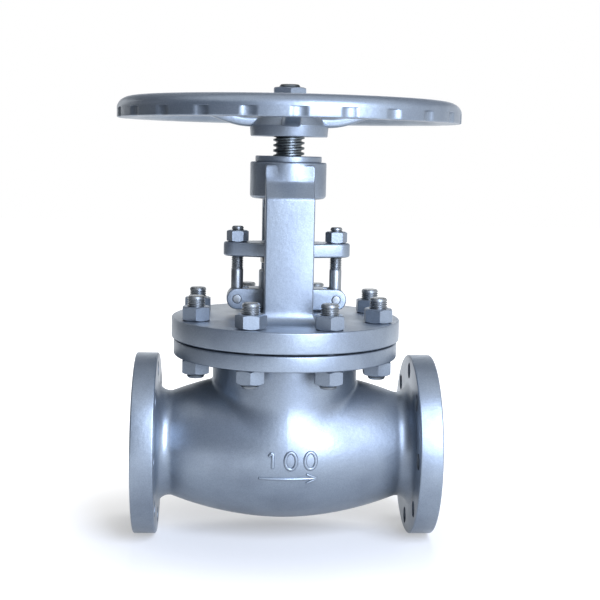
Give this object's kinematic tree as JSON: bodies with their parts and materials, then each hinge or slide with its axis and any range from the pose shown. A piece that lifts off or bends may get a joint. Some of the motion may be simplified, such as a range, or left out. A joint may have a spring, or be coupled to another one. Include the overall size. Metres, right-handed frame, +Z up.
{
  "type": "globe valve",
  "caption": "Flanged cast-steel globe valve with a bolted bonnet, outside screw and yoke, packed gland and a handwheel that rises with the stem.",
  "frame": {"origin": "where the pipe axis crosses the stem axis", "axes": "+X along the pipe from inlet to outlet, +Z up the stem, -Y towards the picture's viewer"},
  "size_m": [0.39, 0.39, 0.522],
  "materials": {
    "silver_paint": "sprayed aluminium paint, satin",
    "plated_steel": "plated steel, satin",
    "stainless_steel": "turned stainless steel",
    "graphite": "pressed graphite, matt",
    "bronze": "machined bronze"
  },
  "bodies": {
    "valve_body": {"body": "silver_paint", "bonnet": "silver_paint", "gland_flange": "silver_paint", "bonnet_nut_top_1": "silver_paint", "bonnet_nut_top_2": "silver_paint", "bonnet_nut_top_3": "silver_paint", "bonnet_nut_top_4": "silver_paint", "bonnet_nut_top_5": "silver_paint", "bonnet_nut_top_6": "silver_paint", "bonnet_nut_top_7": "silver_paint", "bonnet_nut_top_8": "silver_paint", "bonnet_nut_bottom_1": "silver_paint", "bonnet_nut_bottom_2": "silver_paint", "bonnet_nut_bottom_3": "silver_paint", "bonnet_nut_bottom_4": "silver_paint", "bonnet_nut_bottom_5": "silver_paint", "bonnet_nut_bottom_6": "silver_paint", "bonnet_nut_bottom_7": "silver_paint", "bonnet_nut_bottom_8": "silver_paint", "gland_nut_left": "silver_paint", "gland_nut_right": "silver_paint", "bonnet_stud_1": "plated_steel", "bonnet_stud_2": "plated_steel", "bonnet_stud_3": "plated_steel", "bonnet_stud_4": "plated_steel", "bonnet_stud_5": "plated_steel", "bonnet_stud_6": "plated_steel", "bonnet_stud_7": "plated_steel", "bonnet_stud_8": "plated_steel", "eyebolt_left": "plated_steel", "eyebolt_right": "plated_steel", "eyebolt_pin_left": "plated_steel", "eyebolt_pin_right": "plated_steel", "seat_ring": "stainless_steel", "backseat_bush": "stainless_steel", "packing_washer": "stainless_steel", "gland_follower": "stainless_steel", "bonnet_gasket": "graphite", "packing_ring_1": "graphite", "packing_ring_2": "graphite", "packing_ring_3": "graphite", "packing_ring_4": "graphite", "yoke_nut": "bronze"},
    "disc": {"disc": "stainless_steel", "disc_nut": "stainless_steel"},
    "stem": {"stem": "stainless_steel", "handwheel": "silver_paint", "handwheel_washer": "silver_paint", "handwheel_nut": "silver_paint"}
  },
  "joints": [
    {"name": "stem_lift", "type": "slide", "parent": "valve_body", "child": "disc", "axis": [0, 0, 1], "range_m": [0, 0.03]},
    {"name": "wheel_turn", "type": "hinge", "parent": "disc", "child": "stem", "pos_m": [0, 0, 0.3745], "axis": [0, 0, 1], "range_deg": [0, 1800]}
  ],
  "couplings": [
    {"joint": "stem_lift", "follows": "wheel_turn", "m_per_rad": 0.00095493}
  ]
}
